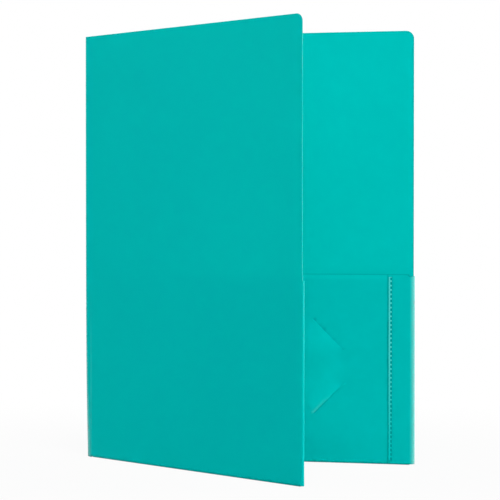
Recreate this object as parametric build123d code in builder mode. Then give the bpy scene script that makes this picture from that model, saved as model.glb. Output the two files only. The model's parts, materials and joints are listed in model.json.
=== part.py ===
from build123d import *
import os

# A two-pocket folder, die-cut from one polypropylene sheet and scored into two covers and a spine.
# At the bottom each cover folds up into a pocket. A flap on the cover's free edge folds over the
# pocket's face and is welded to it along a row of stitches. The back pocket has four slits that
# hold the corners of a business card.
# Lengths are in millimetres, angles in degrees, and +Z is up.

# Sheet and covers
sheet = 0.5
cover_width = 232.0
cover_height = 296.0
cover_corner_radius = 5.5
opening_angle = 35.5

# Creases, where the covers hinge on the spine
crease_sheet = 0.4
crease_strip = 1.2
crease_clearance = 0.05
closing_gap = 0.45

# Pockets
pocket_height = 130.0
pocket_gap = 1.5
pocket_start = 8.0
pocket_lean = 5.0
pocket_corner_radius = 4.0
pocket_edge_clearance = 0.7
fold_relief = 0.5

# Side flaps
flap_width = 16.9
flap_corner = 1.2
flap_lift = 0.5
side_fold_reach = 0.9

# Welded seams
weld_height = 0.2
weld_margin = 0.7
weld_width = 2.6
weld_end_margin = 1.5
stitch_diameter = 1.3
stitch_pitch = 3.0
stitch_inset = 0.15

# Card slits in the back pocket
card_from_edge = 96.0
card_centre_height = 66.0
slit_pitch_across = 74.0
slit_pitch_up = 44.0
slit_length = 30.0
slit_width = 0.6
slit_angle = 45.0

# Depths through the folded sheet, inwards from the cover's middle plane
half_sheet = sheet / 2
pocket_depth = half_sheet + pocket_gap
flap_depth = pocket_depth + sheet
flap_face = flap_depth + sheet
spine_width = 2 * (flap_face + weld_height) + closing_gap

# The bottom fold turns the cover into the pocket, the side fold turns it into the flap.
# Each is made of two quarter-round bends, an outer one on the cover and an inner one on the pocket or flap.
bottom_fold_inner = pocket_gap / 2
bottom_fold_outer = bottom_fold_inner + sheet
bottom_fold_depth = half_sheet + bottom_fold_inner
side_fold_inner = (pocket_gap + sheet) / 2
side_fold_outer = side_fold_inner + sheet
side_fold_depth = half_sheet + side_fold_inner

# Places across a cover, from its crease, and up it, from the floor
crease_radius = crease_sheet / 2
cover_start = crease_radius + crease_clearance
side_fold_line = cover_width + side_fold_reach - side_fold_outer
side_fold_top = pocket_height - flap_corner
pocket_end = side_fold_line - pocket_edge_clearance
flap_edge = side_fold_line - flap_width

# Each panel plane stands on its crease with x across the cover, y up and z towards the inside.
# The front panel is the mirror image of the back one, so its x runs the other way: hand is -1.
back_out = Vector(1, 0, 0)
front_out = back_out.rotate(Axis.Z, -opening_angle)
spine_out = back_out.rotate(Axis.Z, -90 - opening_angle / 2)
front_crease_place = spine_out * spine_width
back_panel = Plane((0, 0, 0), x_dir=back_out, z_dir=back_out.rotate(Axis.Z, -90))
front_panel = Plane(front_crease_place, x_dir=-front_out, z_dir=front_out.rotate(Axis.Z, 90))
spine_plan = Plane((0, 0, 0), x_dir=spine_out, z_dir=(0, 0, 1))


def mirrored(outline, hand):
    """The points of an outline, with their distances from the crease turned to this hand."""
    return [(hand * across, up) for across, up in outline]


def make_cover(panel, hand):
    """A cover, whose bottom and side edges run on into the folds and whose upper corner is round."""
    tab_end = pocket_start - fold_relief
    outline = [
        (cover_start, 0),
        (tab_end, 0),
        (tab_end, bottom_fold_outer),
        (side_fold_line, bottom_fold_outer),
        (side_fold_line, side_fold_top),
        (cover_width, side_fold_top),
        (cover_width, cover_height),
        (cover_start, cover_height),
    ]
    with BuildPart() as cover:
        with BuildSketch(panel) as face:
            with BuildLine():
                Polyline(*mirrored(outline, hand), close=True)
            make_face()
            upper_corners = face.vertices().group_by(Axis.Y)[-1]
            free_corner = upper_corners.sort_by(lambda corner: hand * corner.X)[-1]
            fillet(free_corner, cover_corner_radius)
        extrude(amount=half_sheet, both=True)
    return cover.part


def make_pocket(panel, hand, card_slits):
    """A pocket panel, with slits for a card where it has them."""
    outline = [
        (pocket_start, bottom_fold_outer),
        (pocket_end, bottom_fold_outer),
        (pocket_end, pocket_height),
        (pocket_start + pocket_lean, pocket_height),
    ]
    card_place = hand * (cover_width - card_from_edge)
    with BuildPart() as pocket:
        with BuildSketch(panel.offset(pocket_depth)) as face:
            with BuildLine():
                Polyline(*mirrored(outline, hand), close=True)
            make_face()
            upper_corners = face.vertices().group_by(Axis.Y)[-1]
            inner_corner = upper_corners.sort_by(lambda corner: hand * corner.X)[0]
            fillet(inner_corner, pocket_corner_radius)
            if card_slits:
                for right in (-1, 1):
                    for top in (-1, 1):
                        slit_across = card_place + right * slit_pitch_across / 2
                        slit_up = card_centre_height + top * slit_pitch_up / 2
                        with Locations((slit_across, slit_up)):
                            SlotOverall(slit_length, slit_width, -right * top * slit_angle, mode=Mode.SUBTRACT)
        extrude(amount=sheet)
    return pocket.part


def make_bottom_bend(panel, hand, start, turn):
    """A quarter-round bend along the bottom, which begins at the cover's edge or at the pocket's."""
    middle = panel.from_local_coords((hand * (pocket_start + pocket_end) / 2, 0, 0))
    section = Plane(middle, x_dir=panel.z_dir, z_dir=-panel.x_dir)
    centre = (bottom_fold_depth, bottom_fold_outer)
    with BuildPart() as bend:
        with BuildSketch(section):
            with BuildLine():
                outside = CenterArc(centre, bottom_fold_outer, start, turn)
                inside = CenterArc(centre, bottom_fold_inner, start, turn)
                Line(outside @ 0, inside @ 0)
                Line(outside @ 1, inside @ 1)
            make_face()
        extrude(amount=(pocket_end - pocket_start) / 2, both=True)
    return bend.part


def make_side_bend(panel, hand, start, turn):
    """A quarter-round bend on the free edge, which begins at the cover's edge or at the flap's."""
    middle = panel.from_local_coords((0, (flap_lift + side_fold_top) / 2, 0))
    section = Plane(middle, x_dir=panel.x_dir, z_dir=-panel.y_dir)
    centre = (hand * side_fold_line, side_fold_depth)
    with BuildPart() as bend:
        with BuildSketch(section):
            with BuildLine():
                outside = CenterArc(centre, side_fold_outer, start, hand * turn)
                inside = CenterArc(centre, side_fold_inner, start, hand * turn)
                Line(outside @ 0, inside @ 0)
                Line(outside @ 1, inside @ 1)
            make_face()
        extrude(amount=(side_fold_top - flap_lift) / 2, both=True)
    return bend.part


def make_flap(panel, hand):
    """The side flap, lying on the pocket's face, with its outer upper corner cut off."""
    outline = [
        (flap_edge, flap_lift),
        (side_fold_line, flap_lift),
        (side_fold_line, side_fold_top),
        (side_fold_line - flap_corner, pocket_height),
        (flap_edge, pocket_height),
    ]
    with BuildPart() as flap:
        with BuildSketch(panel.offset(flap_depth)):
            with BuildLine():
                Polyline(*mirrored(outline, hand), close=True)
            make_face()
        extrude(amount=sheet)
    return flap.part


def make_weld(panel, hand):
    """The raised weld along the flap's edge, with a row of stitch marks pressed through it."""
    weld_bottom = flap_lift + weld_end_margin
    weld_top = pocket_height - weld_end_margin
    weld_length = weld_top - weld_bottom
    weld_middle = (weld_bottom + weld_top) / 2
    weld_start = flap_edge + weld_margin
    stitch_across = weld_start + weld_width - stitch_inset - stitch_diameter / 2
    stitch_count = int(weld_length // stitch_pitch)
    with BuildPart() as weld:
        with BuildSketch(panel.offset(flap_face)):
            with Locations((hand * (weld_start + weld_width / 2), weld_middle)):
                Rectangle(weld_width, weld_length)
            with Locations((hand * stitch_across, weld_middle)):
                with GridLocations(stitch_pitch, stitch_pitch, 1, stitch_count):
                    Circle(stitch_diameter / 2, mode=Mode.SUBTRACT)
        extrude(amount=weld_height)
    return weld.part


def make_crease(place, towards):
    """A crease strip on the spine, with a round nose on the hinge axis."""
    with BuildPart() as crease:
        with BuildSketch(spine_plan):
            with Locations((place, 0)):
                Circle(crease_radius)
            with Locations((place + towards * crease_strip / 2, 0)):
                Rectangle(crease_strip, crease_sheet)
        extrude(amount=cover_height)
    return crease.part


def make_spine():
    """The flat spine between its two crease strips."""
    with BuildPart() as spine:
        with BuildSketch(spine_plan):
            with Locations((spine_width / 2, 0)):
                Rectangle(spine_width - 2 * crease_strip, sheet)
        extrude(amount=cover_height)
    return spine.part


pieces = {
    "spine": make_spine(),
    "back_crease": make_crease(0, 1),
    "front_crease": make_crease(spine_width, -1),
}
for side, panel, hand in (("back", back_panel, 1), ("front", front_panel, -1)):
    pieces[f"{side}_cover"] = make_cover(panel, hand)
    pieces[f"{side}_bottom_fold_outer"] = make_bottom_bend(panel, hand, 180, 90)
    pieces[f"{side}_bottom_fold_inner"] = make_bottom_bend(panel, hand, 0, -90)
    pieces[f"{side}_pocket"] = make_pocket(panel, hand, card_slits=side == "back")
    pieces[f"{side}_side_fold_outer"] = make_side_bend(panel, hand, -90, 90)
    pieces[f"{side}_side_fold_inner"] = make_side_bend(panel, hand, 90, -90)
    pieces[f"{side}_side_flap"] = make_flap(panel, hand)
    pieces[f"{side}_weld_seam"] = make_weld(panel, hand)

# The origin is on the floor, under the middle of the standing folder
box = Compound(list(pieces.values())).bounding_box()
to_origin = Location((-box.center().X, -box.center().Y, -box.min.Z))

os.makedirs("parts", exist_ok=True)
for name, piece in pieces.items():
    placed = piece.moved(to_origin)
    placed.label = name
    export_step(placed, f"parts/{name}.step")

print("size", box.size)
print("back crease axis", to_origin.position)
print("front crease axis", to_origin.position + front_crease_place)
print("front cover direction", front_out)
print("spine width", spine_width)
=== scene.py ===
# %% [markdown]
# A two-pocket folder: one teal polypropylene sheet that was cut, scored, folded and welded. It stands
# part open on its bottom edge. The CAD model gives every place and size, so the scene starts from it
# and keeps its box.

# %% Load the frame
import json
from math import acos, cos, exp, pi, radians, sin, tan

import bmesh
import bpy
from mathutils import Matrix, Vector


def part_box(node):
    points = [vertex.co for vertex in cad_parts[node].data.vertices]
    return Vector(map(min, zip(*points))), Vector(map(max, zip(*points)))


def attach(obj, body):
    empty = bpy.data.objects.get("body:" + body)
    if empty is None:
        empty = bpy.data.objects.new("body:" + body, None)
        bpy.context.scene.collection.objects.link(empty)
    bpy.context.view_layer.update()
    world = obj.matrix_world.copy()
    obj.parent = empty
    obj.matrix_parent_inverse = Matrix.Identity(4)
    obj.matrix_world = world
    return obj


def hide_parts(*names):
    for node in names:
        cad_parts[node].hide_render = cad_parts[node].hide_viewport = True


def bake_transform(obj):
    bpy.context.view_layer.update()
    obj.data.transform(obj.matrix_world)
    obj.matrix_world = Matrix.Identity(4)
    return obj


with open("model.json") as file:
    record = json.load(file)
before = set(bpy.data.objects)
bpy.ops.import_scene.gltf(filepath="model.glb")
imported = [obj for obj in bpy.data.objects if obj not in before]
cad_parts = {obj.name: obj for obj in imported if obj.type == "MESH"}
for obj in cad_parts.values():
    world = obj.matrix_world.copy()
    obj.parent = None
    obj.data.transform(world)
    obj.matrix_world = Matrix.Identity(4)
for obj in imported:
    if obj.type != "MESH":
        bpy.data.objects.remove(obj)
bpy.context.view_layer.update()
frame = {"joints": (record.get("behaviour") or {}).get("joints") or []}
bpy.context.scene.view_settings.view_transform = "Standard"

# %% [markdown]
# The camera comes first, because every shape is judged through it. The picture was taken with a long
# lens from about 1.5 m, a little to the right and at half the folder's height, so upright edges stay
# upright. Place, turn and lens were solved from the six corners of the two covers.

# %% Camera
camera_data = bpy.data.cameras.new("camera")
camera = bpy.data.objects.new("camera", camera_data)
bpy.context.scene.collection.objects.link(camera)
camera.location = (0.37773, -1.37784, 0.16544)
camera.rotation_euler = (radians(89.261), radians(-0.051), radians(14.572))
camera_data.sensor_width = 36
camera_data.lens = 154.96
bpy.context.scene.camera = camera
print("camera at", tuple(camera.location))

# %% [markdown]
# The back half stands along X with its inside towards -Y, so the boxes of its CAD parts give the
# planes and lines of the folds. The hinge places come from the joints.

# %% Measures of the back half
mm = 0.001
joints = {joint["name"]: joint for joint in frame["joints"]}
back_crease = Vector(joints["back_crease_fold"]["pos_m"])
front_crease = Vector(joints["front_crease_fold"]["pos_m"])
spine_along = (front_crease - back_crease).normalized()
spine_width = (front_crease - back_crease).length
crease_turn = acos(-spine_along.x)
opening = pi - 2 * crease_turn

cover_low, cover_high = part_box("back_cover")
pocket_low, pocket_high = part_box("back_pocket")
bottom_low, bottom_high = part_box("back_bottom_fold_outer")
side_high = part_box("back_side_fold_outer")[1]
flap_low, flap_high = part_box("back_side_flap")
weld_low, weld_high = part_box("back_weld_seam")
sheet = cover_high.y - cover_low.y
cover_plane = (cover_low.y + cover_high.y) / 2
pocket_plane = (pocket_low.y + pocket_high.y) / 2
flap_plane = (flap_low.y + flap_high.y) / 2
top = cover_high.z
fold_line = bottom_high.z

crease_bend = 1.6 * mm
crease_reach = crease_bend * tan(crease_turn / 2)
cover_start = back_crease.x + crease_reach
print("sheet", round(sheet / mm, 2), "mm, spine", round(spine_width / mm, 2), "mm")

# %% [markdown]
# The side fold isn't an even half round. The cover turns over sharply at its edge, and the flap then
# rises in an easy curve over the pocket. Seen from inside, that easy curve is the pale, rounded edge
# of the pocket. Two arcs that run on into each other give it, so their radii are worked out here.

# %% Measures of the side fold
hair = 0.01 * mm
pocket_clearance = 0.2 * mm
fold_tight = 0.6 * mm
fold_turn = radians(125)
flap_depth = cover_plane - flap_plane
fold_easy = (flap_depth - fold_tight * (1 - cos(fold_turn))) / (1 + cos(fold_turn))
side_start = side_high.x - sheet / 2 - fold_tight
flat_end = side_start + (fold_tight - fold_easy) * sin(fold_turn)
easy_end = cover_plane - fold_tight * (1 - cos(fold_turn)) + hair
pocket_stop = flat_end - pocket_clearance
print("side fold radii", round(fold_tight / mm, 2), "and", round(fold_easy / mm, 2), "mm")

# %% [markdown]
# Each half of the folder is a sheet that never ends at a fold, so it is modelled as one thin surface:
# a plane for the cover, whose edges are spun round the folds and pulled out into the pocket and the
# flap. Thickness comes last. The alternative, one box for each panel, would show a joint at every
# fold. A tiny helper picks corners, edges or faces by their place, as a hand would by clicking.

# %% Picking by place
touch = 0.02 * mm
margin = 0.1 * mm
same_point = 0.001 * mm


def pick(kind, test):
    """In edit mode, select only the VERT, EDGE or FACE elements whose corners all pass the test."""
    bpy.ops.mesh.select_mode(type=kind)
    bpy.ops.mesh.select_all(action="DESELECT")
    mesh = bpy.context.edit_object.data
    shape = bmesh.from_edit_mesh(mesh)
    elements = {"VERT": shape.verts, "EDGE": shape.edges, "FACE": shape.faces}[kind]
    for element in elements:
        corners = [element] if kind == "VERT" else element.verts
        element.select = all(test(corner.co) for corner in corners)
    shape.select_flush_mode()
    bmesh.update_edit_mesh(mesh)
    return sum(element.select for element in elements)


def near(a, b):
    """Whether two coordinates count as the same place."""
    return abs(a - b) < touch


def pull(x=0.0, y=0.0, z=0.0):
    """Extrude what is selected along a vector."""
    bpy.ops.mesh.extrude_region_move(TRANSFORM_OT_translate={"value": (x, y, z)})


def shift(x=0.0, y=0.0, z=0.0):
    """Move what is selected."""
    bpy.ops.transform.translate(value=(x, y, z))


# %% The cover, with cuts where the folds begin
bpy.ops.object.select_all(action="DESELECT")
cover_middle = ((cover_start + side_start) / 2, cover_plane, (fold_line + top) / 2)
bpy.ops.mesh.primitive_plane_add(size=1, location=cover_middle, rotation=(radians(90), 0, 0))
back_sheet = bpy.context.object
back_sheet.name = "back_sheet"
back_sheet.scale = (side_start - cover_start, top - fold_line, 1)
bpy.ops.object.transform_apply(location=True, rotation=True, scale=True)
bpy.ops.object.mode_set(mode="EDIT")
for height in (side_high.z, flap_high.z):
    pick("FACE", lambda place: True)
    bpy.ops.mesh.bisect(plane_co=(0, 0, height), plane_no=(0, 0, 1))
relief = 0.5 * mm
tab_end = bottom_low.x - relief
corner_start = pocket_stop + relief
for across in (tab_end, bottom_low.x, pocket_stop, corner_start):
    pick("FACE", lambda place: place.z < flap_high.z + mm)
    bpy.ops.mesh.bisect(plane_co=(across, 0, 0), plane_no=(1, 0, 0))
spine_side = 5.0 * mm
spine_side_cuts = 5
for step in range(1, spine_side_cuts + 1):
    pick("FACE", lambda place: True)
    across = cover_start + spine_side * step / spine_side_cuts
    bpy.ops.mesh.bisect(plane_co=(across, 0, 0), plane_no=(1, 0, 0))
print("cover faces", len(bmesh.from_edit_mesh(back_sheet.data).faces))

# %% [markdown]
# Beside the folds the cover runs on to the floor: a short tab at the spine and a corner at the free
# edge are pulled down from it. Above the pocket the free edge ends a little short of the fold, so it
# is moved to its place, and its upper corner is rounded with a bevel, which is quicker than an arc.

# %% The tab at the spine, the free edge and its round corner
cover_corner = 5.5 * mm
pick("EDGE", lambda place: near(place.z, fold_line) and place.x < tab_end + margin)
pull(z=-fold_line)
pick("EDGE", lambda place: near(place.z, fold_line) and place.x > corner_start - margin)
pull(z=flap_low.z - fold_line)
pick("VERT", lambda place: near(place.x, side_start) and place.z > flap_high.z - margin)
shift(x=cover_high.x - side_start)
pick("VERT", lambda place: near(place.x, cover_high.x) and near(place.z, top))
bpy.ops.mesh.bevel(affect="VERTICES", offset=cover_corner, segments=8)
print("corner radius", round(cover_corner / mm, 1), "mm")

# %% [markdown]
# A crease is a scored line that bends as a small round, so the cover's inner edge is spun half way to
# the spine. Rows of cuts along it let the bend change its width from the foot to the top later.

# %% The crease, spun towards the spine
pick("EDGE", lambda place: near(place.x, cover_start))
crease_middle = (cover_start, cover_plane - crease_bend, 0)
bpy.ops.mesh.spin(steps=12, angle=-crease_turn, center=crease_middle, axis=(0, 0, 1))
row_height = 12 * mm
spine_rows = [row_height * row for row in range(1, int(top / row_height) + 1)]
for height in spine_rows:
    pick("FACE", lambda place: place.x < cover_start + spine_side + hair)
    bpy.ops.mesh.bisect(plane_co=(0, 0, height), plane_no=(0, 0, 1))
print("crease rows", len(spine_rows))

# %% [markdown]
# At the bottom the sheet turns up into the pocket: its edge is spun by half a turn and pulled up. The
# pocket's inner edge leans and its upper corner is round. Its face is divided finely, because the slits
# and their lips need points to move.

# %% The bottom fold and the pocket
bottom_bend = (cover_plane - pocket_plane) / 2
bottom_middle = (0, cover_plane - bottom_bend, fold_line)
pocket_lean = 5.0 * mm
pocket_corner = 3.0 * mm
pick("EDGE", lambda place: near(place.z, fold_line) and near(place.y, cover_plane)
     and bottom_low.x - margin < place.x < pocket_stop + margin)
bpy.ops.mesh.spin(steps=14, angle=pi, center=bottom_middle, axis=(1, 0, 0))
pull(z=pocket_high.z - fold_line)
pick("VERT", lambda place: near(place.y, pocket_plane) and near(place.z, pocket_high.z)
     and near(place.x, bottom_low.x))
shift(x=pocket_lean)
pick("FACE", lambda place: near(place.y, pocket_plane))
bpy.ops.mesh.subdivide(number_cuts=60)
pick("VERT", lambda place: near(place.y, pocket_plane) and near(place.z, pocket_high.z)
     and near(place.x, bottom_low.x + pocket_lean))
bpy.ops.mesh.bevel(affect="VERTICES", offset=pocket_corner, segments=6)
print("pocket", round((pocket_high.z - fold_line) / mm, 1), "mm high above its fold")

# %% [markdown]
# The side fold is two spins, a sharp one and an easy one, and the flap is pulled on from there. Its
# upper outer corner is cut off, so the flap is pulled in two steps and the corner filled with one face.

# %% The side fold and the flap over the pocket
flap_corner = flap_high.z - side_high.z
tight_middle = (side_start, cover_plane - fold_tight, 0)
easy_middle = (flat_end, flap_plane + fold_easy, 0)
pick("EDGE", lambda place: near(place.x, side_start) and near(place.y, cover_plane)
     and flap_low.z - margin < place.z < side_high.z + margin)
bpy.ops.mesh.spin(steps=8, angle=fold_turn, center=tight_middle, axis=(0, 0, 1))
bpy.ops.mesh.spin(steps=10, angle=pi - fold_turn, center=easy_middle, axis=(0, 0, 1))
pull(x=-flap_corner)
pull(x=flap_low.x - flat_end + flap_corner)
pick("EDGE", lambda place: near(place.z, side_high.z) and near(place.y, flap_plane)
     and place.x < flat_end - flap_corner + margin)
pull(z=flap_corner)
pick("VERT", lambda place: near(place.y, flap_plane) and place.z > side_high.z - margin
     and flat_end - flap_corner - margin < place.x < flat_end + margin)
bpy.ops.mesh.edge_face_add()
bpy.ops.mesh.select_all(action="SELECT")
bpy.ops.mesh.remove_doubles(threshold=same_point)
bpy.ops.mesh.normals_make_consistent(inside=False)
bpy.ops.object.mode_set(mode="OBJECT")
print("half sheet", len(back_sheet.data.polygons), "faces")

# %% [markdown]
# Where the sheet is bent hard, polypropylene turns a little paler. On the side fold the paleness also
# stands for a painted highlight on its rounded edge. A number on each point says how far it lies round a
# bend, and the material reads it later. It is set now, before the front half is copied, while every fold
# still lies along an axis.

# %% Mark the bends
crease_paleness = 0.2
crease_span = cover_start - back_crease.x - spine_along.x * crease_reach
fold_span = side_start + fold_tight - flat_end
bends = back_sheet.data.attributes.new("bend", "FLOAT", "POINT")
for point, bend in zip(back_sheet.data.vertices, bends.data):
    place = point.co
    if place.x < cover_start - hair:
        way = (cover_start - place.x) / crease_span
        bend.value = crease_paleness * max(0.0, sin(pi * min(way, 1.0)))
    elif place.x > flat_end and place.z < side_high.z + margin and place.y < easy_end:
        bend.value = ((place.x - flat_end) / fold_span) ** 2
print("bent points", sum(bend.value > 0 for bend in bends.data))

# %% [markdown]
# The front half is the mirror image of the back one, across the upright plane that halves the spine.
# So it is a copy with its own mesh, turned over in Y and then turned shut by the opening angle.

# %% The front half
spine_middle = (back_crease + front_crease) / 2


def copy_to_front(piece, name):
    """A mirrored copy of a back piece, at its place on the front half."""
    bpy.ops.object.select_all(action="DESELECT")
    piece.select_set(True)
    bpy.context.view_layer.objects.active = piece
    bpy.ops.object.duplicate()
    twin = bpy.context.object
    twin.name = name
    bpy.ops.object.mode_set(mode="EDIT")
    bpy.ops.mesh.select_all(action="SELECT")
    bpy.ops.transform.resize(value=(1, -1, 1), center_override=spine_middle)
    bpy.ops.transform.rotate(value=opening, orient_axis="Z", center_override=spine_middle)
    bpy.ops.mesh.normals_make_consistent(inside=False)
    bpy.ops.object.mode_set(mode="OBJECT")
    return twin


front_sheet = copy_to_front(back_sheet, "front_sheet")
front_reach = max((point.co - front_crease).to_2d().length for point in front_sheet.data.vertices)
print("front sheet reaches", round(front_reach / mm, 1), "mm from its crease")

# %% [markdown]
# At the foot of the spine the front cover is drawn in a little, so that the sheet rolls round to the spine
# in a wide soft bend, which narrows upwards. Near the floor the bend gets a painted highlight, paler than
# the flat sheet and fading upwards. It is a slow change along the whole crease, so each point's move is
# worked out from its height and its distance to it. The front's side fold keeps only a little of the back
# one's painted paleness, with one small painted glint.

# %% The soft foot of the spine
front_along = Vector((cos(opening), -sin(opening), 0))
front_inward = Vector((sin(opening), cos(opening), 0))
front_seam = front_crease - spine_along * crease_reach
bend_width = 2.2 * mm
bend_narrowing = 1.0 * mm
foot_widening = 6.0 * mm
foot_fade = 50 * mm
drawn_share = 0.3


def soft_bend(place):
    """The width of the soft bend at a point's height, and how far into it the point lies, from 0 to 1."""
    width = bend_width - bend_narrowing * place.z / top + foot_widening * exp(-place.z / foot_fade)
    apart = max(0.0, (place - front_crease).dot(front_along))
    return width, max(0.0, 1 - apart / width)


def drawn_in(place):
    """The move of a point beside the front crease, towards the back cover."""
    width, lean = soft_bend(place)
    return front_inward * drawn_share * width * lean ** 2


def seam_at(height):
    """The end of the front crease's bend, where the spine's flat strip begins."""
    seam = Vector((front_seam.x, front_seam.y, height))
    return seam + drawn_in(seam)


soft_reach = 7 * mm
foot_highlight_height = 80 * mm
foot_highlight_most = 0.65
front_fold_start = 225 * mm
front_fold_paleness = 0.05
glint = 0.3
glint_height = 70 * mm
glint_spread = 12 * mm
front_bends = front_sheet.data.attributes["bend"].data
# Painted highlight: the soft bend is painted pale, most near the floor, and the front's side fold keeps a
# weak painted paleness with a painted glint at one height.
for point, bend in zip(front_sheet.data.vertices, front_bends):
    from_crease = (point.co - front_crease).dot(front_along)
    if from_crease < soft_reach:
        foot_highlight = 1.1 * soft_bend(point.co)[1] * exp(-(point.co.z / foot_highlight_height) ** 2)
        bend.value = max(bend.value, min(foot_highlight_most, foot_highlight))
        point.co += drawn_in(point.co)
    elif from_crease > front_fold_start:
        near_glint = exp(-((point.co.z - glint_height) / glint_spread) ** 2)
        bend.value *= front_fold_paleness + glint * near_glint
drawn_most = drawn_in(Vector((front_seam.x, front_seam.y, 0))).length
print("drawn in at the foot", round(drawn_most / mm, 2), "mm")

# %% [markdown]
# Only the back pocket has the four slits that hold a business card by its corners. Each is a knife
# cut at 45 degrees: the pocket's faces are bisected along it and the sliver between is deleted. A few
# more cuts on the card's side let that side, the lip, take a shape of its own.

# %% The card slits
card_middle = Vector((back_crease.x + 136 * mm, pocket_plane, 66 * mm))
card_corners = [(right, up) for right in (-1, 1) for up in (-1, 1)]
slit_across = 37 * mm
slit_up = 22 * mm
slit_length = 30 * mm
slit_half = 0.02 * mm
sliver = 1.1 * slit_half
lip_cuts = (0.8 * mm, 1.6 * mm, 3 * mm, 6 * mm)
cut_reach = 24 * mm
cut_outside = -7 * mm
cut_inside = 12 * mm


def slit_lines(right, up):
    """The middle of a slit, its direction to the right, and the way from it to the card's middle."""
    middle = card_middle + Vector((right * slit_across, 0, up * slit_up))
    along = Vector((1, 0, -right * up)).normalized()
    inward = Vector((-right, 0, -up)).normalized()
    return middle, along, inward


def cut_slit(middle, along, inward):
    """Cut a slit and the lines of its lip into the pocket."""
    def beside(place, reach, low, high):
        offset = place - middle
        flat = near(place.y, pocket_plane)
        return flat and abs(offset.dot(along)) < reach and low < offset.dot(inward) < high

    for edge in (-slit_half, slit_half, *lip_cuts):
        pick("FACE", lambda place: beside(place, cut_reach, cut_outside, cut_inside))
        bpy.ops.mesh.bisect(plane_co=middle + inward * edge, plane_no=inward, threshold=same_point)
    for end in (-slit_length / 2, slit_length / 2):
        pick("FACE", lambda place: beside(place, cut_reach, -sliver, sliver))
        bpy.ops.mesh.bisect(plane_co=middle + along * end, plane_no=along, threshold=same_point)
    slit_reach = slit_length / 2 + hair
    slivers = pick("FACE", lambda place: beside(place, slit_reach, -sliver, sliver))
    bpy.ops.mesh.delete(type="FACE")
    print("slit", slivers, "slivers out")


bpy.ops.object.select_all(action="DESELECT")
back_sheet.select_set(True)
bpy.context.view_layer.objects.active = back_sheet
bpy.ops.object.mode_set(mode="EDIT")
for right, up in card_corners:
    cut_slit(*slit_lines(right, up))
bpy.ops.object.mode_set(mode="OBJECT")

# %% [markdown]
# Between its slits the pocket stands out a little. It slopes down to the upper slits, and its lips stand
# proud at the lower ones. So on the card's side the sheet leans up towards the light, which is how the
# slits show. The pocket is also puffed out near the bottom. All this is too slight to draw by hand, so
# it is worked out from each point's place.

# %% The shape of the lips and the puffed pocket
lip_rise = 0.8 * mm
lip_reach = 12 * mm
lip_fade = 34 * mm
lip_peak = -0.75
puff = 0.7 * mm
puff_height = 20 * mm
puff_top = 115 * mm
puff_side = (172 * mm, 208 * mm)


def ease(value, low, high):
    """A number that goes smoothly from 0 at low to 1 at high."""
    way = min(1.0, max(0.0, (value - low) / (high - low)))
    return way * way * (3 - 2 * way)


def puffed(place):
    """How far the pocket stands out near the bottom."""
    rise = ease(place.z, fold_line, puff_height) * (1 - ease(place.z, puff_height, puff_top))
    return puff * rise * (1 - ease(place.x - back_crease.x, *puff_side))


def lip(away, way, up):
    """How far the pocket stands out beside a slit, by the distances from it and along it."""
    near_slit = 1 - min(1.0, away / lip_reach)
    if up > 0:
        slope = (1 - near_slit ** 2) * (1 - ease(away, lip_reach, lip_fade))
        return lip_rise * (1 - way * way) * slope
    crest = ease(way, -1.0, lip_peak) * (1 - way) / (1 - lip_peak)
    return 0.5 * lip_rise * crest * near_slit ** 2


print("lips rise", round(lip_rise / mm, 1), "mm, pocket puffs", round(puff / mm, 1), "mm")

# %% [markdown]
# Light is painted on the pocket. The place for the card is painted lighter against the shade that falls
# there, the pocket just below the mouth gets a painted highlight, and the card's side of each slit is
# painted lighter as if lit, the lower lips most, with a painted highlight streak where they are bent open.
# Numbers on the points say how much, and the material reads them. They are set with the lips' shape, while
# the pocket is still flat.

# %% Shape and painted light of the pocket
card_half_width = 44 * mm
card_half_height = 24 * mm
card_fade = 10 * mm
slit_fade = 14 * mm
card_light = 0.45
mouth_line = 3 * mm
mouth_highlight = 0.5
upper_lip_light = 0.25
lower_lip_light = 0.85
lip_light_reach = 16 * mm
streak_width = (0.4 * mm, 2.6 * mm)
streak_light = 1.5
streak_paleness = 0.12


def between_the_slits(place):
    """How far a point lies between the four slits, from 0 to 1."""
    slits = [slit_lines(right, up) for right, up in card_corners]
    inside = min((place - middle).dot(inward) for middle, _, inward in slits)
    across = 1 - ease(abs(place.x - card_middle.x), card_half_width, card_half_width + card_fade)
    height = 1 - ease(abs(place.z - card_middle.z), card_half_height, card_half_height + card_fade)
    return ease(inside, 0.0, slit_fade) * across * height


pocket_points = [index for index, point in enumerate(back_sheet.data.vertices)
                 if near(point.co.y, pocket_plane) and point.co.z > fold_line]
back_sheet.data.attributes.new("painted_light", "FLOAT", "POINT")
painted_light_numbers = back_sheet.data.attributes["painted_light"].data
bend_numbers = back_sheet.data.attributes["bend"].data
# These numbers are painted light: a lighter tone on the card's place, a painted highlight under the mouth
# and beside the slits, and a painted highlight streak on the lower lips.
for index in pocket_points:
    point = back_sheet.data.vertices[index]
    place = point.co.copy()
    stands_out = puffed(place)
    painted_light = card_light * between_the_slits(place)
    if mm < pocket_high.z - place.z < mouth_line:
        painted_light = mouth_highlight
    for right, up in card_corners:
        middle, along, inward = slit_lines(right, up)
        away = (place - middle).dot(inward) - slit_half
        way = (place - middle).dot(along) / (slit_length / 2)
        if away < -hair or abs(way) >= 1:
            continue
        stands_out += lip(max(0.0, away), way, up)
        beside_lip = (1 - ease(away, 0.0, lip_light_reach)) * (1 - ease(abs(way), 0.7, 1.0))
        painted_light = max(painted_light, (upper_lip_light if up > 0 else lower_lip_light) * beside_lip)
        if up < 0:
            streak = (1 - ease(away, *streak_width)) * (1 - ease(way, -0.8, 0.4))
            bend_numbers[index].value = max(streak_paleness * streak, bend_numbers[index].value)
            painted_light = max(painted_light, streak_light * streak)
    painted_light_numbers[index].value = painted_light
    point.co.y -= stands_out
print("pocket points", len(pocket_points))

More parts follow.
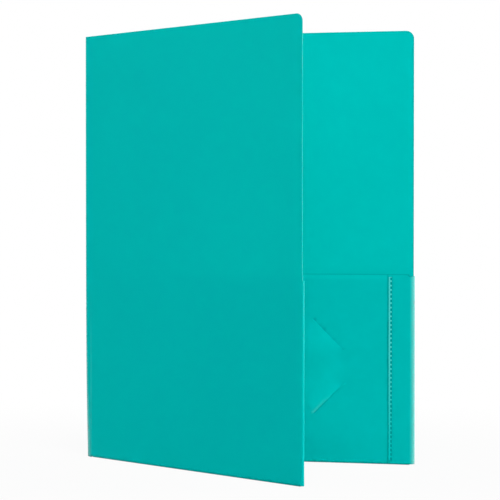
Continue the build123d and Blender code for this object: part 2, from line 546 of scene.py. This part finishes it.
# %% [markdown]
# A die leaves the cut edge slightly rolled and darker than the face. The dark band also carries painted
# shade in the gaps beside the edges, as at the pocket's mouth and the flap's edge. A narrow band is inset
# along every edge to carry that, then the surface gets the sheet's thickness and its corners are rounded.
# The front cover's free edge is only half as dark. The creases and the slits get no band.

# %% Thickness and cut edges
rim_width = 0.6 * mm
edge_round = 0.1 * mm
faint_edge = 0.5


def thicken(piece, spared, faint=lambda place: False):
    """Give a surface its thickness and rolled cut edges, dark in tone and painted shade unless spared, half
    as dark if faint.
    """
    bpy.ops.object.select_all(action="DESELECT")
    piece.select_set(True)
    bpy.context.view_layer.objects.active = piece
    bpy.ops.object.mode_set(mode="EDIT")
    pick("FACE", lambda place: not spared(place))
    bpy.ops.mesh.inset(thickness=rim_width, use_boundary=True, use_even_offset=True)
    shape = bmesh.from_edit_mesh(piece.data)
    rim = {point.index for edge in shape.edges if edge.is_boundary for point in edge.verts}
    bpy.ops.object.mode_set(mode="OBJECT")
    edge_darkening = piece.data.attributes.new("edge_tone_and_shade", "FLOAT", "POINT")
    for index in rim:
        place = piece.data.vertices[index].co
        if not spared(place):
            edge_darkening.data[index].value = faint_edge if faint(place) else 1.0
    thickness = piece.modifiers.new("sheet thickness", "SOLIDIFY")
    thickness.thickness = sheet
    thickness.offset = 0
    rounding = piece.modifiers.new("rolled edge", "BEVEL")
    rounding.width = edge_round
    rounding.segments = 2
    rounding.limit_method = "ANGLE"
    rounding.angle_limit = radians(50)
    for modifier in (thickness, rounding):
        bpy.ops.object.modifier_apply(modifier=modifier.name)
    bpy.ops.object.shade_smooth_by_angle(angle=radians(35))
    print(piece.name, len(piece.data.polygons), "faces")


pocket_inner_band = 20 * mm
pocket_outer_band = 10 * mm
end_band = 5 * mm


def spared_on_back(place):
    """Beside the back crease, or on the pocket's face, well inside its edges."""
    across = pocket_low.x + pocket_inner_band < place.x < flap_low.x - pocket_outer_band
    in_pocket = across and end_band < place.z < pocket_high.z - end_band
    return in_pocket or place.x < cover_start - touch


def spared_on_front(place):
    """Beside the front crease."""
    return (place - front_crease).dot(front_along) < crease_reach - touch


def on_free_edge(place):
    """On the front cover's free edge, below its round corner."""
    return (place - front_crease).dot(front_along) > front_fold_start and place.z < top - end_band


thicken(back_sheet, spared_on_back)
thicken(front_sheet, spared_on_front, on_free_edge)

# %% [markdown]
# Between the two creases the spine is a flat strip. It is one plane, turned to lie between the ends
# of the two bends, cut into rows so that its front edge can follow the crease, and thickened.

# %% The spine
bpy.ops.object.select_all(action="DESELECT")
spine_turn = spine_along.to_2d().angle_signed(Vector((1, 0)))
bpy.ops.mesh.primitive_plane_add(size=1, location=(spine_middle.x, spine_middle.y, top / 2),
                                 rotation=(radians(90), 0, spine_turn))
spine_panel = bpy.context.object
spine_panel.name = "spine_panel"
spine_panel.scale = (spine_width - 2 * crease_reach, top, 1)
bpy.ops.object.transform_apply(location=True, rotation=True, scale=True)
bpy.ops.object.mode_set(mode="EDIT")
for height in (rim_width, *spine_rows, top - rim_width):
    pick("FACE", lambda place: True)
    bpy.ops.mesh.bisect(plane_co=(0, 0, height), plane_no=(0, 0, 1))
bpy.ops.object.mode_set(mode="OBJECT")
for point in spine_panel.data.vertices:
    if (point.co - front_seam).to_2d().length < margin / 2:
        point.co = seam_at(point.co.z)
thicken(spine_panel, lambda place: hair < place.z < top - hair)

# %% [markdown]
# The flap is held by a stitched weld: a horn melts a ridge along the flap's edge and a wheel presses a
# row of dots beside it. One stitch is modelled on a small grid, then arrayed into the row, which is
# quicker than 42 stitches and keeps them all alike.

# %% One stitch
stitch_pitch = 3.0 * mm
stitch_count = int((weld_high.z - weld_low.z) // stitch_pitch)
stitch_columns = 10
stitch_rows = 8
weld_middle = (weld_low + weld_high) / 2
weld_rise = 0.2 * mm
plateau = flap_low.y - weld_rise
stitch_low = weld_middle.z - stitch_count * stitch_pitch / 2
stitch_middle = stitch_low + stitch_pitch / 2
bpy.ops.object.select_all(action="DESELECT")
bpy.ops.mesh.primitive_grid_add(
    x_subdivisions=stitch_columns, y_subdivisions=stitch_rows, size=1, rotation=(radians(90), 0, 0),
    location=(weld_middle.x, plateau, stitch_middle))
back_weld = bpy.context.object
back_weld.name = "back_stitch_weld"
back_weld.scale = (weld_high.x - weld_low.x, stitch_pitch, 1)
bpy.ops.object.transform_apply(location=True, rotation=True, scale=True)
print("stitch", len(back_weld.data.polygons), "faces")

# %% [markdown]
# The ridge is raised in two small steps, so that it is round, and notched at both ends of a stitch. The
# dot beside it is pressed in by two steps as well. Then the weld's long edges go down to the flap.

# %% The ridge and the dot
column = (weld_high.x - weld_low.x) / stitch_columns
ridge = weld_low.x + 2 * column
dot = weld_low.x + 6.5 * column
ridge_step = 0.1 * mm
dot_step = 0.08 * mm
dot_half = 0.26 * stitch_pitch
edge_drop = 0.1 * mm
rim_drop = 0.06 * mm
bpy.ops.object.mode_set(mode="EDIT")
pick("VERT", lambda place: abs(place.x - ridge) < 1.1 * column)
shift(y=-ridge_step)
pick("VERT", lambda place: near(place.x, ridge))
shift(y=-ridge_step)
pick("VERT", lambda place: abs(place.x - ridge) < 1.1 * column
     and abs(place.z - stitch_middle) > 0.4 * stitch_pitch)
shift(y=dot_step)
pick("VERT", lambda place: abs(place.x - dot) < 2.1 * column
     and abs(place.z - stitch_middle) < dot_half)
shift(y=dot_step)
pick("VERT", lambda place: abs(place.x - dot) < 1.1 * column
     and abs(place.z - stitch_middle) < dot_half)
shift(y=dot_step)
pick("VERT", lambda place: place.x > weld_high.x - 1.1 * column)
shift(y=edge_drop)
pick("VERT", lambda place: near(place.x, weld_low.x) or near(place.x, weld_high.x))
shift(y=rim_drop)
bpy.ops.object.mode_set(mode="OBJECT")
print("dot", round(2 * dot_half / mm, 1), "mm high")

# %% [markdown]
# The array's copies are merged where they meet and the row's two ends go down to the flap. Numbers on
# the points keep what was pressed, for painted shade in the dots, and where the crest and the bridges
# between the dots stand, for a painted highlight that fades towards the bottom. Thickness and one level of
# subdivision then melt the steps into each other.

# %% The row of stitches
row = back_weld.modifiers.new("row of stitches", "ARRAY")
row.count = stitch_count
row.use_relative_offset = False
row.use_constant_offset = True
row.constant_offset_displace = (0, 0, stitch_pitch)
row.use_merge_vertices = True
row.merge_threshold = hair
bpy.ops.object.modifier_apply(modifier=row.name)
bpy.ops.object.mode_set(mode="EDIT")
row_high = stitch_low + stitch_count * stitch_pitch
pick("VERT", lambda place: near(place.z, stitch_low) or near(place.z, row_high))
shift(y=edge_drop + rim_drop)
bpy.ops.mesh.select_all(action="SELECT")
bpy.ops.mesh.normals_make_consistent(inside=False)
bpy.ops.object.mode_set(mode="OBJECT")
weld_body = 0.3 * mm
press_depth = 0.1 * mm
ridge_highlight_height = 90 * mm
bridge_highlight = 0.6
# Painted shade and painted highlight: the dots' depth and the crest and bridges become numbers for the
# material.
dot_shade_numbers = back_weld.data.attributes.new("dot_shade_numbers", "FLOAT", "POINT")
for point, dot_shade in zip(back_weld.data.vertices, dot_shade_numbers.data):
    dot_shade.value = min(1.0, max(0.0, (point.co.y - plateau) / press_depth))
ridge_highlight = back_weld.data.attributes.new("ridge_highlight", "FLOAT", "POINT")
for point, rise in zip(back_weld.data.vertices, ridge_highlight.data):
    crest = max(0.0, (plateau - point.co.y) / (2 * ridge_step))
    from_dot = abs((point.co.z - stitch_low) / stitch_pitch % 1.0 - 0.5)
    bridge = bridge_highlight if near(point.co.y, plateau) and from_dot > 0.3 else 0.0
    rise.value = max(crest, bridge) * ease(point.co.z, 0.0, ridge_highlight_height)
body = back_weld.modifiers.new("weld body", "SOLIDIFY")
body.thickness = weld_body
body.offset = -1
smoothing = back_weld.modifiers.new("melted", "SUBSURF")
smoothing.levels = smoothing.render_levels = 1
for modifier in (body, smoothing):
    bpy.ops.object.modifier_apply(modifier=modifier.name)
bpy.ops.object.shade_smooth_by_angle(angle=radians(60))
front_weld = copy_to_front(back_weld, "front_stitch_weld")
print("weld", len(back_weld.data.polygons), "faces,", stitch_count, "stitches")

# %% [markdown]
# All of it is one plastic: satin polypropylene, pigmented through. Colours are written as they look on
# screen and turned into Blender's linear numbers by one function. One helper adds a node, sets its
# sockets and links it.

# %% Helpers for materials
def paint(code):
    """A colour written as a six-digit screen code, as linear red, green, blue and alpha."""
    parts = [int(code[i:i + 2], 16) / 255 for i in (1, 3, 5)]
    return [p / 12.92 if p <= 0.04045 else ((p + 0.055) / 1.055) ** 2.4 for p in parts] + [1.0]


def add_node(tree, kind, sockets=None, **settings):
    """Add a node, set its fields, and give each named socket a number, a colour or a link."""
    node = tree.nodes.new(kind)
    for field, value in settings.items():
        setattr(node, field, value)
    for socket, value in (sockets or {}).items():
        if isinstance(value, bpy.types.NodeSocket):
            tree.links.new(value, node.inputs[socket])
        else:
            node.inputs[socket].default_value = value
    return node


print("sheet teal in linear numbers", [round(v, 3) for v in paint("#00B4B1")])

# %% [markdown]
# The sheet is embossed with a fine matte grain, finer than the camera can see, so it is drawn at
# about 1.5 mm. To the eye it gives a soft, even satin. The pigment drifts very slightly, over about 70 mm.
# On the pocket the card's place, the mouth and the lips of the slits are painted lighter, painted light.
# Bends turn paler, partly as whitening and partly as a painted highlight, and cut edges darker, partly in
# tone and partly as painted shade.
# A little light goes into the plastic and comes out beside, so shadows in it are soft.

# %% Satin polypropylene
drift_per_metre = 14.0
grain_per_metre = 650.0


def satin_polypropylene():
    material = bpy.data.materials.new("satin_teal_polypropylene")
    material.use_nodes = True
    tree = material.node_tree
    tree.nodes.clear()
    place = add_node(tree, "ShaderNodeTexCoord").outputs["Object"]
    drift = add_node(tree, "ShaderNodeTexNoise", {"Vector": place, "Scale": drift_per_metre, "Detail": 2.0})
    grain = add_node(tree, "ShaderNodeTexNoise", {"Vector": place, "Scale": grain_per_metre, "Detail": 2.0})
    colour = add_node(tree, "ShaderNodeMix", {
        0: drift.outputs["Fac"], 6: paint("#00B3B0"), 7: paint("#00B5B2")}, data_type="RGBA")
    # Painted light: the pocket's numbers mix in a lighter teal at the card's place, the mouth, the lips and
    # the streak.
    painted_light_node = add_node(tree, "ShaderNodeAttribute", attribute_name="painted_light")
    painted_light_mix = add_node(tree, "ShaderNodeMix", {
        0: painted_light_node.outputs["Fac"], 6: colour.outputs[2], 7: paint("#00C0BC")}, data_type="RGBA")
    # Bends mix in a pale colour: whitening of the bent plastic, and a painted highlight on the folds and
    # the spine's foot.
    bend = add_node(tree, "ShaderNodeAttribute", attribute_name="bend")
    pale = add_node(tree, "ShaderNodeMath", {0: bend.outputs["Fac"], 1: 0.8}, operation="MULTIPLY")
    bent = add_node(tree, "ShaderNodeMix", {
        0: pale.outputs[0], 6: painted_light_mix.outputs[2], 7: paint("#8CC6BE")}, data_type="RGBA")
    # Cut edges mix in a dark teal: partly the cut edge's own tone, partly painted shade along the edges.
    edge = add_node(tree, "ShaderNodeAttribute", attribute_name="edge_tone_and_shade")
    dark = add_node(tree, "ShaderNodeMath", {0: edge.outputs["Fac"], 1: 0.8}, operation="MULTIPLY")
    finished = add_node(tree, "ShaderNodeMix", {
        0: dark.outputs[0], 6: bent.outputs[2], 7: paint("#007F7D")}, data_type="RGBA")
    rough = add_node(tree, "ShaderNodeMapRange", {
        "Value": grain.outputs["Fac"], "To Min": 0.2, "To Max": 0.27})
    bump = add_node(tree, "ShaderNodeBump", {
        "Height": grain.outputs["Fac"], "Strength": 0.06, "Distance": 0.0004})
    shader = add_node(tree, "ShaderNodeBsdfPrincipled", {
        "Base Color": finished.outputs[2], "Roughness": rough.outputs[0], "IOR": 1.49,
        "Specular IOR Level": 0.18, "Specular Tint": paint("#00E6E0"), "Subsurface Weight": 1.0,
        "Subsurface Radius": (0.1, 1.0, 0.92), "Subsurface Scale": 0.0009, "Normal": bump.outputs[0]})
    add_node(tree, "ShaderNodeOutputMaterial", {"Surface": shader.outputs[0]})
    return material


sheet_finish = satin_polypropylene()
for piece in (back_sheet, front_sheet, spine_panel):
    piece.data.materials.clear()
    piece.data.materials.append(sheet_finish)
print(sheet_finish.name, len(sheet_finish.node_tree.nodes), "nodes")

# %% [markdown]
# Where the horn melted it the plastic lost its grain: it is smoother and shinier. The pressed dots are
# painted darker, painted shade in the dimples. The crest of the ridge and the bridges between the dots are
# painted pale, a painted highlight, most at the top. The shine varies over about 3 mm, as the melt froze.

# %% Pressed weld
melt_per_metre = 300.0


def pressed_weld():
    material = bpy.data.materials.new("pressed_teal_weld")
    material.use_nodes = True
    tree = material.node_tree
    tree.nodes.clear()
    place = add_node(tree, "ShaderNodeTexCoord").outputs["Object"]
    drift = add_node(tree, "ShaderNodeTexNoise", {"Vector": place, "Scale": melt_per_metre, "Detail": 1.0})
    # Painted shade darkens the pressed dots and a painted highlight pales the crest and bridges.
    dot_shade = add_node(tree, "ShaderNodeAttribute", attribute_name="dot_shade_numbers")
    colour = add_node(tree, "ShaderNodeMix", {
        0: dot_shade.outputs["Fac"], 6: paint("#00B4B1"), 7: paint("#008885")}, data_type="RGBA")
    crest = add_node(tree, "ShaderNodeAttribute", attribute_name="ridge_highlight")
    painted_light_mix = add_node(tree, "ShaderNodeMath", {0: crest.outputs["Fac"], 1: 0.5}, operation="MULTIPLY")
    finished = add_node(tree, "ShaderNodeMix", {
        0: painted_light_mix.outputs[0], 6: colour.outputs[2], 7: paint("#7CDAD4")}, data_type="RGBA")
    rough = add_node(tree, "ShaderNodeMapRange", {
        "Value": drift.outputs["Fac"], "To Min": 0.2, "To Max": 0.32})
    shader = add_node(tree, "ShaderNodeBsdfPrincipled", {
        "Base Color": finished.outputs[2], "Roughness": rough.outputs[0], "IOR": 1.49,
        "Specular IOR Level": 0.3, "Specular Tint": paint("#00E6E0")})
    add_node(tree, "ShaderNodeOutputMaterial", {"Surface": shader.outputs[0]})
    return material


weld_finish = pressed_weld()
for piece in (back_weld, front_weld):
    piece.data.materials.clear()
    piece.data.materials.append(weld_finish)
print(weld_finish.name, len(weld_finish.node_tree.nodes), "nodes")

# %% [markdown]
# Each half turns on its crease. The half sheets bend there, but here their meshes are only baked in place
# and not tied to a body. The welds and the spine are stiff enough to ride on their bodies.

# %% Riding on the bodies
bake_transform(back_sheet)
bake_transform(front_sheet)
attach(spine_panel, "spine_strip")
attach(back_weld, "back_half")
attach(front_weld, "front_half")
panels = ("cover", "bottom_fold_outer", "bottom_fold_inner", "pocket",
          "side_fold_outer", "side_fold_inner", "side_flap", "crease")
for piece, half in ((back_sheet, "back"), (front_sheet, "front")):
    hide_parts(*[f"{half}_{panel}" for panel in panels])
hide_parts("spine")
for piece, node in ((back_weld, "back_weld_seam"), (front_weld, "front_weld_seam")):
    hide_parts(node)
print("dressed", [piece.name for piece in (back_sheet, front_sheet, spine_panel, back_weld, front_weld)])

# %% [markdown]
# The stage is a pale table in a white room, as in a catalogue picture. The camera sees plain white, and
# close to the folder a small share of the table's own shading, which is the folder's faint shadow.
# Reflections see white only behind the folder, on the spine's side, which makes its rounded edges pale,
# because the rest of the studio is dim. For the light that it bounces the table is mid grey.

# %% Pale table
bpy.ops.object.select_all(action="DESELECT")
bpy.ops.mesh.primitive_plane_add(size=12, location=(0, 0, -margin))
floor = bpy.context.object
floor.name = "floor"


def white_table():
    material = bpy.data.materials.new("white_table")
    material.use_nodes = True
    tree = material.node_tree
    tree.nodes.clear()
    rays = add_node(tree, "ShaderNodeLightPath").outputs
    place = add_node(tree, "ShaderNodeTexCoord").outputs["Object"]
    away = add_node(tree, "ShaderNodeVectorMath", {0: place}, operation="LENGTH")
    far = add_node(tree, "ShaderNodeMapRange", {
        "Value": away.outputs["Value"], "From Min": 0.2, "From Max": 0.6, "To Min": 0.94},
        interpolation_type="SMOOTHSTEP")
    mirrored = add_node(tree, "ShaderNodeMath", {
        0: rays["Is Glossy Ray"], 1: rays["Is Transmission Ray"]}, operation="MAXIMUM")
    spot = add_node(tree, "ShaderNodeSeparateXYZ", {0: place})
    slant = add_node(tree, "ShaderNodeMath", {
        0: spot.outputs["X"], 1: 0.25, 2: spot.outputs["Y"]}, operation="MULTIPLY_ADD")
    behind = add_node(tree, "ShaderNodeMapRange", {
        "Value": slant.outputs[0], "From Min": 0.0, "From Max": 0.12}, interpolation_type="SMOOTHSTEP")
    left = add_node(tree, "ShaderNodeMapRange", {
        "Value": spot.outputs["X"], "From Min": 0.1, "From Max": -0.1, "To Min": 0.15})
    pale = add_node(tree, "ShaderNodeMath", {
        0: behind.outputs[0], 1: left.outputs[0]}, operation="MULTIPLY")
    plain = add_node(tree, "ShaderNodeMath", {
        0: rays["Is Camera Ray"], 1: far.outputs[0]}, operation="MULTIPLY")
    seen = add_node(tree, "ShaderNodeMath", {
        0: plain.outputs[0], 1: mirrored.outputs[0]}, operation="MAXIMUM")
    shine = add_node(tree, "ShaderNodeMix", {0: mirrored.outputs[0], 2: 1.0, 3: pale.outputs[0]})
    table = add_node(tree, "ShaderNodeBsdfDiffuse", {"Color": paint("#939393")})
    glow = add_node(tree, "ShaderNodeEmission", {
        "Color": paint("#FFFFFF"), "Strength": shine.outputs[0]})
    mixed = add_node(tree, "ShaderNodeMixShader", {
        0: seen.outputs[0], 1: table.outputs[0], 2: glow.outputs[0]})
    add_node(tree, "ShaderNodeOutputMaterial", {"Surface": mixed.outputs[0]})
    return material


floor.data.materials.append(white_table())
print("floor at", round(floor.location.z / mm, 2), "mm")

# %% [markdown]
# The room is the same all round for the camera, and less than half as bright for the light that it
# gives, so that the lamps can model the sheet. In reflections it is white only behind, on the spine's side.

# %% White room
world = bpy.data.worlds.new("white_room")
bpy.context.scene.world = world
world.use_nodes = True
room = world.node_tree
room.nodes.clear()
room_rays = add_node(room, "ShaderNodeLightPath").outputs
ray_way = add_node(room, "ShaderNodeTexCoord").outputs["Generated"]
ray_parts = add_node(room, "ShaderNodeSeparateXYZ", {0: ray_way}).outputs
behind = add_node(room, "ShaderNodeMapRange", {
    "Value": ray_parts["Y"], "From Min": 0.12, "From Max": 0.45}, interpolation_type="SMOOTHSTEP")
left = add_node(room, "ShaderNodeMapRange", {
    "Value": ray_parts["X"], "From Min": 0.3, "From Max": -0.2, "To Min": 0.15})
pale = add_node(room, "ShaderNodeMath", {
    0: behind.outputs[0], 1: left.outputs[0]}, operation="MULTIPLY")
mirrored = add_node(room, "ShaderNodeMath", {
    0: room_rays["Is Glossy Ray"], 1: room_rays["Is Transmission Ray"]}, operation="MAXIMUM")
plain = add_node(room, "ShaderNodeMapRange", {
    "Value": room_rays["Is Camera Ray"], "To Min": 0.43, "To Max": 1.0})
strength = add_node(room, "ShaderNodeMix", {
    0: mirrored.outputs[0], 2: plain.outputs[0], 3: pale.outputs[0]})
backdrop = add_node(room, "ShaderNodeBackground", {
    "Color": paint("#FFFFFF"), "Strength": strength.outputs[0]})
add_node(room, "ShaderNodeOutputWorld", {"Surface": backdrop.outputs[0]})
print("room", len(room.nodes), "nodes")

# %% [markdown]
# Five soft lamps light the folder. Two large, far ones stand high in front on the right. A small near one
# on the left gives the front cover its tone, a little lighter at the top. One on the right shines past the
# back cover into the fold, onto the front cover's inside, which throws light back on the back cover, as an
# open folder does. A weak one behind keeps the back at the same level.

# %% Soft lamps
def soft_lamp(name, place, aim, width, watts):
    """A square lamp that is turned towards its aim."""
    lamp_data = bpy.data.lights.new(name, "AREA")
    lamp_data.shape = "SQUARE"
    lamp_data.size = width
    lamp_data.energy = watts
    lamp = bpy.data.objects.new(name, lamp_data)
    bpy.context.scene.collection.objects.link(lamp)
    lamp.location = place
    lamp.rotation_euler = (Vector(aim) - Vector(place)).to_track_quat("-Z", "Y").to_euler()
    print(name, watts, "W")


folder_middle = (0, 0, 0.15)
front_upper_half = (0, 0, 0.25)
soft_lamp("right_lamp", (2.44, -5.24, 7.05), folder_middle, width=3.2, watts=555)
soft_lamp("top_lamp", (1.44, -2.4, 7.35), folder_middle, width=2.0, watts=515)
soft_lamp("left_lamp", (-1.0, -0.42, 1.0), front_upper_half, width=0.8, watts=4.3)
soft_lamp("side_lamp", (2.05, 1.25, 0.5), folder_middle, width=1.2, watts=60)
soft_lamp("back_lamp", (-0.6, 2.4, 0.6), folder_middle, width=2.4, watts=14)
